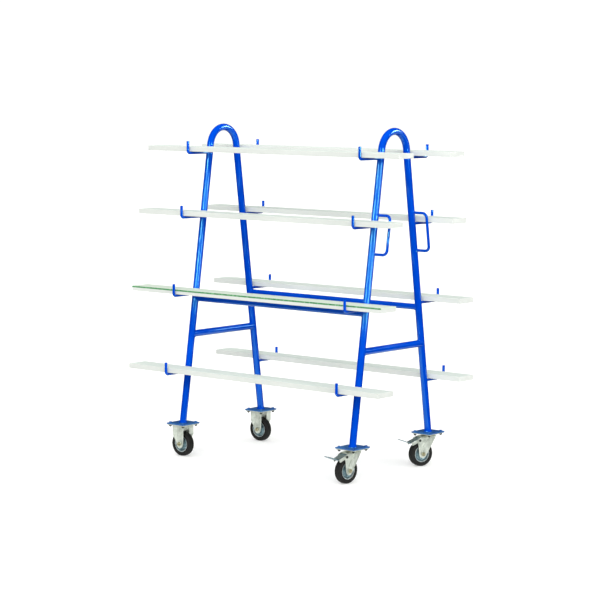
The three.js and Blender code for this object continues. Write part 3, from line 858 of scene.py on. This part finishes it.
def makeBoards():
    for side in sides:
        for level in range(1, len(armHeights) + 1):
            name = f"{side}_board_{level}"
            piece = finerCopy(name, melamine, name, bevels["board"], segments=3)
            bandEdges(piece, bandings[side], True)


def makeGlass():
    piece = finerCopy("glass_strip", glassFace, "glass_strip", bevels["glass"])
    bandEdges(piece, glassEdge, False)  # the ends keep the pale face, a painted reflection of the lamp, and show no green


makeBoards()
makeGlass()
print("boards and glass made")


# Stage, light and camera

floorShape = {  # only the near floor is mirrored, so that the legs keep their deep blue
    "near": 1.2, "far": 60, "glow": 0.17, "colour": "#F2F2F0", "bounce": 0.3, "flagDepth": 0.002,
}


def keepStage(name, corners, faces, material, seenInGloss):
    mesh = bpy.data.meshes.new(name)
    mesh.from_pydata(corners, [], faces)
    mesh.materials.append(material)
    piece = bpy.data.objects.new(name, mesh)
    piece.visible_glossy = seenInGloss
    piece.visible_diffuse = False
    bpy.context.scene.collection.objects.link(piece)
    return piece


def makeFloor():
    # white acrylic lit from below: matt, with a faint glow that keeps shadows pale
    material = startMaterial(
        "studio_floor", {
            "Base Color": hexToLinear(floorShape["colour"]), "Roughness": 0.9, "Specular IOR Level": 0.1,
            "Emission Color": hexToLinear("#FFFFFF"), "Emission Strength": floorShape["glow"],
        }
    )[0]
    turns = [(-1, -1), (1, -1), (1, 1), (-1, 1)]
    near = [(x * floorShape["near"], y * floorShape["near"], 0) for x, y in turns]
    far = [(x * floorShape["far"], y * floorShape["far"], 0) for x, y in turns]
    keepStage("studio_floor", near, [(0, 1, 2, 3)], material, True)
    ring = [(at, (at + 1) % 4, (at + 1) % 4 + 4, at + 4) for at in range(4)]
    keepStage("studio_floor_far", far + near, ring, material, False)
    # grey cloth under the floor: a dim even bounce in the floor's place, so that undersides stay dark
    flagMaterial = startMaterial(
        "grey_flag", {
            "Base Color": hexToLinear("#000000"), "Emission Color": hexToLinear("#FFFFFF"),
            "Emission Strength": floorShape["bounce"],
        }
    )[0]
    low = [(*spot[:2], -floorShape["flagDepth"]) for spot in far]
    flag = keepStage("floor_flag", low, [(0, 1, 2, 3)], flagMaterial, False)
    flag.visible_camera = False
    flag.visible_diffuse = True


studioLight = {"sky": "#FFFFFF", "skyStrength": 0.92, "sunDistance": 8}
broadLights = {
    "overhead": {"towards": (-0.2, -0.1, 0.95), "strength": 0.45, "widthDegrees": 50},
    "front_wall": {"towards": (0.5, -0.85, 0.3), "strength": 2.35, "widthDegrees": 50},
    "right_wall": {"towards": (0.95, -0.15, 0.25), "strength": 1.3, "widthDegrees": 50},
}
softboxes = {
    "front_softbox": {
        "place": (0, -3.6, 2.0), "aim": (0, 0, 1.0), "size": (0.3, 1.4),
        "watts": 100, "spreadDegrees": 180,
    },
    "right_softbox": {
        "place": (4.2, -0.55, 1.5), "aim": (0, 0, 1.2), "size": (0.3, 1.4),
        "watts": 100, "spreadDegrees": 180,
    },
    "rear_glint": {  # a narrow spread, for the bends of the hoops
        "place": (2.3, 2.9, 2.8), "aim": (0, 0, 1.9), "size": (2.0, 1.6),
        "watts": 6, "spreadDegrees": 24,
    },
}


def hangLamp(name, light, place, direction):
    lamp = bpy.data.objects.new(name, light)
    lamp.location = place
    lamp.rotation_mode = "QUATERNION"
    lamp.rotation_quaternion = direction.to_track_quat("-Z", "Y")
    lamp.visible_camera = False
    bpy.context.scene.collection.objects.link(lamp)
    return lamp


def makeLights():
    world = bpy.data.worlds.new("studio_sky")
    world.use_nodes = True
    sky = world.node_tree.nodes["Background"]
    sky.inputs["Color"].default_value = hexToLinear(studioLight["sky"])
    sky.inputs["Strength"].default_value = studioLight["skyStrength"]
    bpy.context.scene.world = world
    world.cycles_visibility.glossy = False  # the paint mirrors only the softboxes and the near floor
    for name, broad in broadLights.items():
        light = bpy.data.lights.new(name, "SUN")
        light.energy = broad["strength"]
        light.angle = math.radians(broad["widthDegrees"])
        towards = Vector(broad["towards"])
        lamp = hangLamp(name, light, towards * studioLight["sunDistance"], -towards)
        lamp.visible_glossy = False  # too wide to mirror as a streak
    for name, box in softboxes.items():
        light = bpy.data.lights.new(name, "AREA")
        light.shape = "RECTANGLE"
        light.size, light.size_y = box["size"]
        light.energy = box["watts"]
        light.spread = math.radians(box["spreadDegrees"])
        place = Vector(box["place"])
        lamp = hangLamp(name, light, cartPlace + place, Vector(box["aim"]) - place)
        lamp.visible_diffuse = False  # the softboxes only draw streaks on the paint


backdrop = {"away": (-0.636, 0.772, 0), "reach": 45, "bottom": -1, "height": 30, "glow": 1.05}


def makeBackdrop():
    # white paper lit evenly from behind: no shading of its own
    material = startMaterial(
        "lit_backdrop", {
            "Base Color": hexToLinear("#000000"), "Emission Color": hexToLinear("#FFFFFF"),
            "Emission Strength": backdrop["glow"],
        }
    )[0]
    away = Vector(backdrop["away"]) * backdrop["reach"]
    across = Vector((away.y, -away.x, 0))
    low = away + Vector((0, 0, backdrop["bottom"]))
    high = low + Vector((0, 0, backdrop["height"]))
    corners = [low - across, low + across, high + across, high - across]
    keepStage("lit_backdrop", corners, [(0, 1, 2, 3)], material, False)


viewPoint = {  # fitted to the photo
    "place": (6.7969, -8.2883, 1.9299), "aim": (-0.0327, 0, 0.8125), "rollDegrees": 0.359,
    "lensMm": 128.72, "sensorMm": 36, "clipEnd": 200,
}


def makeCamera():
    camera = bpy.data.cameras.new("photo_camera")
    camera.sensor_width = viewPoint["sensorMm"]
    camera.lens = viewPoint["lensMm"]
    camera.clip_end = viewPoint["clipEnd"]
    eye = bpy.data.objects.new("photo_camera", camera)
    place = cartPlace + Vector(viewPoint["place"])
    look = (cartPlace + Vector(viewPoint["aim"]) - place).to_track_quat("-Z", "Y").to_matrix().to_4x4()
    roll = Matrix.Rotation(math.radians(viewPoint["rollDegrees"]), 4, "Z")
    eye.matrix_world = Matrix.Translation(place) @ look @ roll
    bpy.context.scene.collection.objects.link(eye)
    bpy.context.scene.camera = eye


makeFloor()
makeBackdrop()
makeLights()
makeCamera()
bpy.context.scene.view_settings.view_transform = "Standard"
print("stage, light and camera made")
